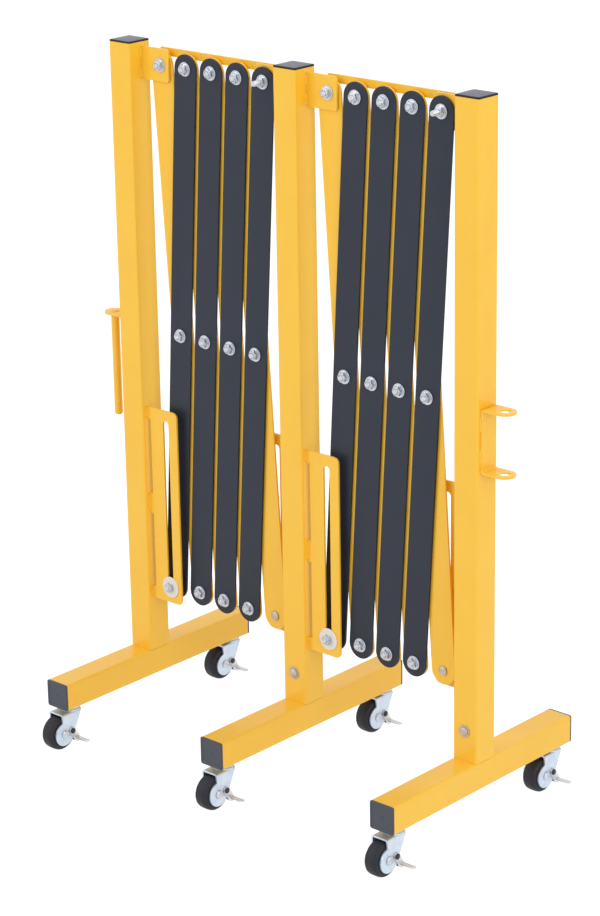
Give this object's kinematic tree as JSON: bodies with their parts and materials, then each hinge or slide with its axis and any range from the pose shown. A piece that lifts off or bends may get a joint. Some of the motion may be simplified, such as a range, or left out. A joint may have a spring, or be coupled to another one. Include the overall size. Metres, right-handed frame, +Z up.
{
  "type": "expandable barrier gate",
  "caption": "Folding scissor-lattice barrier: square posts on wheeled feet, joined by crossing slats that spread along the row into a long fence.",
  "frame": {"origin": "on the floor, at the middle of the footprint of the closed gate; the axes of the three posts stand 12.5 mm behind it", "axes": "+X along the row of posts towards the post with the coupling eyes, -Y the front with the black slats, +Z up"},
  "size_m": [0.742, 0.409, 1.006],
  "materials": {
    "yellow_coat": "satin yellow powder coat on steel",
    "black_coat": "satin black powder coat on steel",
    "black_plastic": "moulded",
    "zinc_steel": "bright zinc plate",
    "lever_steel": "zinc plate",
    "wheel_rubber": "black thermoplastic rubber"
  },
  "bodies": {
    "frame_left": {"post_left": "yellow_coat", "foot_left": "yellow_coat", "caps_left": "black_plastic", "brackets_left": "yellow_coat", "hardware_left": "zinc_steel"},
    "frame_mid": {"post_mid": "yellow_coat", "foot_mid": "yellow_coat", "caps_mid": "black_plastic", "brackets_mid": "yellow_coat", "hardware_mid": "zinc_steel"},
    "frame_right": {"post_right": "yellow_coat", "foot_right": "yellow_coat", "caps_right": "black_plastic", "brackets_right": "yellow_coat", "hardware_right": "zinc_steel"},
    "slat_black_l1": {"black_l1": "black_coat", "bolts_l1": "zinc_steel"},
    "slat_black_l2": {"black_l2": "black_coat", "bolts_l2": "zinc_steel"},
    "slat_black_l3": {"black_l3": "black_coat", "bolts_l3": "zinc_steel"},
    "slat_black_l4": {"black_l4": "black_coat", "bolts_l4": "zinc_steel"},
    "slat_yellow_l1": {"yellow_l1": "yellow_coat"},
    "slat_yellow_l2": {"yellow_l2": "yellow_coat"},
    "slat_yellow_l3": {"yellow_l3": "yellow_coat"},
    "slat_yellow_l4": {"yellow_l4": "yellow_coat"},
    "slat_black_r1": {"black_r1": "black_coat", "bolts_r1": "zinc_steel"},
    "slat_black_r2": {"black_r2": "black_coat", "bolts_r2": "zinc_steel"},
    "slat_black_r3": {"black_r3": "black_coat", "bolts_r3": "zinc_steel"},
    "slat_black_r4": {"black_r4": "black_coat", "bolts_r4": "zinc_steel"},
    "slat_yellow_r1": {"yellow_r1": "yellow_coat"},
    "slat_yellow_r2": {"yellow_r2": "yellow_coat"},
    "slat_yellow_r3": {"yellow_r3": "yellow_coat"},
    "slat_yellow_r4": {"yellow_r4": "yellow_coat"},
    "hold_bar_left": {"latch_left": "yellow_coat"},
    "hold_bar_right": {"latch_right": "yellow_coat"},
    "caster_lf": {"fork_lf": "zinc_steel"},
    "roller_lf": {"wheel_lf": "wheel_rubber"},
    "pedal_lf": {"brake_lf": "lever_steel"},
    "caster_lr": {"fork_lr": "zinc_steel"},
    "roller_lr": {"wheel_lr": "wheel_rubber"},
    "pedal_lr": {"brake_lr": "lever_steel"},
    "caster_mf": {"fork_mf": "zinc_steel"},
    "roller_mf": {"wheel_mf": "wheel_rubber"},
    "pedal_mf": {"brake_mf": "lever_steel"},
    "caster_mr": {"fork_mr": "zinc_steel"},
    "roller_mr": {"wheel_mr": "wheel_rubber"},
    "pedal_mr": {"brake_mr": "lever_steel"},
    "caster_rf": {"fork_rf": "zinc_steel"},
    "roller_rf": {"wheel_rf": "wheel_rubber"},
    "pedal_rf": {"brake_rf": "lever_steel"},
    "caster_rr": {"fork_rr": "zinc_steel"},
    "roller_rr": {"wheel_rr": "wheel_rubber"},
    "pedal_rr": {"brake_rr": "lever_steel"}
  },
  "joints": [
    {"name": "expand_left", "type": "hinge", "parent": "frame_mid", "child": "slat_black_l4", "pos_m": [-0.0575, 0.017, 0.975], "axis": [0, 1, 0], "range_deg": [0, 44]},
    {"name": "l4_middle", "type": "hinge", "parent": "slat_black_l4", "child": "slat_yellow_l4", "pos_m": [-0.0815, 0.017, 0.59225], "axis": [0, 1, 0], "range_deg": [-88, 0]},
    {"name": "l3_top", "type": "hinge", "parent": "slat_yellow_l4", "child": "slat_black_l3", "pos_m": [-0.1055, 0.017, 0.975], "axis": [0, 1, 0], "range_deg": [0, 88]},
    {"name": "l3_middle", "type": "hinge", "parent": "slat_black_l3", "child": "slat_yellow_l3", "pos_m": [-0.1295, 0.017, 0.59225], "axis": [0, 1, 0], "range_deg": [-88, 0]},
    {"name": "l2_top", "type": "hinge", "parent": "slat_yellow_l3", "child": "slat_black_l2", "pos_m": [-0.1535, 0.017, 0.975], "axis": [0, 1, 0], "range_deg": [0, 88]},
    {"name": "l2_middle", "type": "hinge", "parent": "slat_black_l2", "child": "slat_yellow_l2", "pos_m": [-0.1775, 0.017, 0.59225], "axis": [0, 1, 0], "range_deg": [-88, 0]},
    {"name": "l1_top", "type": "hinge", "parent": "slat_yellow_l2", "child": "slat_black_l1", "pos_m": [-0.2015, 0.017, 0.975], "axis": [0, 1, 0], "range_deg": [0, 88]},
    {"name": "l1_middle", "type": "hinge", "parent": "slat_black_l1", "child": "slat_yellow_l1", "pos_m": [-0.2255, 0.017, 0.59225], "axis": [0, 1, 0], "range_deg": [-88, 0]},
    {"name": "left_post_top", "type": "hinge", "parent": "slat_yellow_l1", "child": "frame_left", "pos_m": [-0.2495, 0.017, 0.975], "axis": [0, 1, 0], "range_deg": [0, 44]},
    {"name": "expand_right", "type": "hinge", "parent": "frame_mid", "child": "slat_yellow_r1", "pos_m": [0.0575, 0.017, 0.975], "axis": [0, -1, 0], "range_deg": [0, 44]},
    {"name": "r1_middle", "type": "hinge", "parent": "slat_yellow_r1", "child": "slat_black_r1", "pos_m": [0.0815, 0.017, 0.59225], "axis": [0, -1, 0], "range_deg": [-88, 0]},
    {"name": "r2_top", "type": "hinge", "parent": "slat_black_r1", "child": "slat_yellow_r2", "pos_m": [0.1055, 0.017, 0.975], "axis": [0, -1, 0], "range_deg": [0, 88]},
    {"name": "r2_middle", "type": "hinge", "parent": "slat_yellow_r2", "child": "slat_black_r2", "pos_m": [0.1295, 0.017, 0.59225], "axis": [0, -1, 0], "range_deg": [-88, 0]},
    {"name": "r3_top", "type": "hinge", "parent": "slat_black_r2", "child": "slat_yellow_r3", "pos_m": [0.1535, 0.017, 0.975], "axis": [0, -1, 0], "range_deg": [0, 88]},
    {"name": "r3_middle", "type": "hinge", "parent": "slat_yellow_r3", "child": "slat_black_r3", "pos_m": [0.1775, 0.017, 0.59225], "axis": [0, -1, 0], "range_deg": [-88, 0]},
    {"name": "r4_top", "type": "hinge", "parent": "slat_black_r3", "child": "slat_yellow_r4", "pos_m": [0.2015, 0.017, 0.975], "axis": [0, -1, 0], "range_deg": [0, 88]},
    {"name": "r4_middle", "type": "hinge", "parent": "slat_yellow_r4", "child": "slat_black_r4", "pos_m": [0.2255, 0.017, 0.59225], "axis": [0, -1, 0], "range_deg": [-88, 0]},
    {"name": "right_post_top", "type": "hinge", "parent": "slat_black_r4", "child": "frame_right", "pos_m": [0.2495, 0.017, 0.975], "axis": [0, -1, 0], "range_deg": [0, 44]},
    {"name": "hold_bar_left_lift", "type": "hinge", "parent": "frame_mid", "child": "hold_bar_left", "pos_m": [-0.0575, 0.0263, 0.975], "axis": [0, 1, 0], "range_deg": [-1.6, 95]},
    {"name": "hold_bar_right_lift", "type": "hinge", "parent": "frame_right", "child": "hold_bar_right", "pos_m": [0.2495, 0.0263, 0.975], "axis": [0, 1, 0], "range_deg": [-1.6, 95]},
    {"name": "caster_lf_swivel", "type": "hinge", "parent": "frame_left", "child": "caster_lf", "pos_m": [-0.307, -0.1555, 0.054], "axis": [0, 0, 1], "continuous": true},
    {"name": "wheel_lf_spin", "type": "hinge", "parent": "caster_lf", "child": "roller_lf", "pos_m": [-0.307, -0.1795, 0.025], "axis": [1, 0, 0], "continuous": true},
    {"name": "brake_lf_lift", "type": "hinge", "parent": "caster_lf", "child": "pedal_lf", "pos_m": [-0.2917, -0.1665, 0.027], "axis": [1, 0, 0], "range_deg": [0, 25]},
    {"name": "caster_lr_swivel", "type": "hinge", "parent": "frame_left", "child": "caster_lr", "pos_m": [-0.307, 0.1805, 0.054], "axis": [0, 0, 1], "continuous": true},
    {"name": "wheel_lr_spin", "type": "hinge", "parent": "caster_lr", "child": "roller_lr", "pos_m": [-0.307, 0.1565, 0.025], "axis": [1, 0, 0], "continuous": true},
    {"name": "brake_lr_lift", "type": "hinge", "parent": "caster_lr", "child": "pedal_lr", "pos_m": [-0.2917, 0.1695, 0.027], "axis": [1, 0, 0], "range_deg": [0, 25]},
    {"name": "caster_mf_swivel", "type": "hinge", "parent": "frame_mid", "child": "caster_mf", "pos_m": [0, -0.1555, 0.054], "axis": [0, 0, 1], "continuous": true},
    {"name": "wheel_mf_spin", "type": "hinge", "parent": "caster_mf", "child": "roller_mf", "pos_m": [0, -0.1795, 0.025], "axis": [1, 0, 0], "continuous": true},
    {"name": "brake_mf_lift", "type": "hinge", "parent": "caster_mf", "child": "pedal_mf", "pos_m": [0.0153, -0.1665, 0.027], "axis": [1, 0, 0], "range_deg": [0, 25]},
    {"name": "caster_mr_swivel", "type": "hinge", "parent": "frame_mid", "child": "caster_mr", "pos_m": [0, 0.1805, 0.054], "axis": [0, 0, 1], "continuous": true},
    {"name": "wheel_mr_spin", "type": "hinge", "parent": "caster_mr", "child": "roller_mr", "pos_m": [0, 0.1565, 0.025], "axis": [1, 0, 0], "continuous": true},
    {"name": "brake_mr_lift", "type": "hinge", "parent": "caster_mr", "child": "pedal_mr", "pos_m": [0.0153, 0.1695, 0.027], "axis": [1, 0, 0], "range_deg": [0, 25]},
    {"name": "caster_rf_swivel", "type": "hinge", "parent": "frame_right", "child": "caster_rf", "pos_m": [0.307, -0.1555, 0.054], "axis": [0, 0, 1], "continuous": true},
    {"name": "wheel_rf_spin", "type": "hinge", "parent": "caster_rf", "child": "roller_rf", "pos_m": [0.307, -0.1795, 0.025], "axis": [1, 0, 0], "continuous": true},
    {"name": "brake_rf_lift", "type": "hinge", "parent": "caster_rf", "child": "pedal_rf", "pos_m": [0.3223, -0.1665, 0.027], "axis": [1, 0, 0], "range_deg": [0, 25]},
    {"name": "caster_rr_swivel", "type": "hinge", "parent": "frame_right", "child": "caster_rr", "pos_m": [0.307, 0.1805, 0.054], "axis": [0, 0, 1], "continuous": true},
    {"name": "wheel_rr_spin", "type": "hinge", "parent": "caster_rr", "child": "roller_rr", "pos_m": [0.307, 0.1565, 0.025], "axis": [1, 0, 0], "continuous": true},
    {"name": "brake_rr_lift", "type": "hinge", "parent": "caster_rr", "child": "pedal_rr", "pos_m": [0.3223, 0.1695, 0.027], "axis": [1, 0, 0], "range_deg": [0, 25]}
  ],
  "couplings": [
    {"joint": "l4_middle", "follows": "expand_left", "ratio": -2},
    {"joint": "l3_top", "follows": "expand_left", "ratio": 2},
    {"joint": "l3_middle", "follows": "expand_left", "ratio": -2},
    {"joint": "l2_top", "follows": "expand_left", "ratio": 2},
    {"joint": "l2_middle", "follows": "expand_left", "ratio": -2},
    {"joint": "l1_top", "follows": "expand_left", "ratio": 2},
    {"joint": "l1_middle", "follows": "expand_left", "ratio": -2},
    {"joint": "left_post_top", "follows": "expand_left", "ratio": 1},
    {"joint": "r1_middle", "follows": "expand_right", "ratio": -2},
    {"joint": "r2_top", "follows": "expand_right", "ratio": 2},
    {"joint": "r2_middle", "follows": "expand_right", "ratio": -2},
    {"joint": "r3_top", "follows": "expand_right", "ratio": 2},
    {"joint": "r3_middle", "follows": "expand_right", "ratio": -2},
    {"joint": "r4_top", "follows": "expand_right", "ratio": 2},
    {"joint": "r4_middle", "follows": "expand_right", "ratio": -2},
    {"joint": "right_post_top", "follows": "expand_right", "ratio": 1}
  ]
}
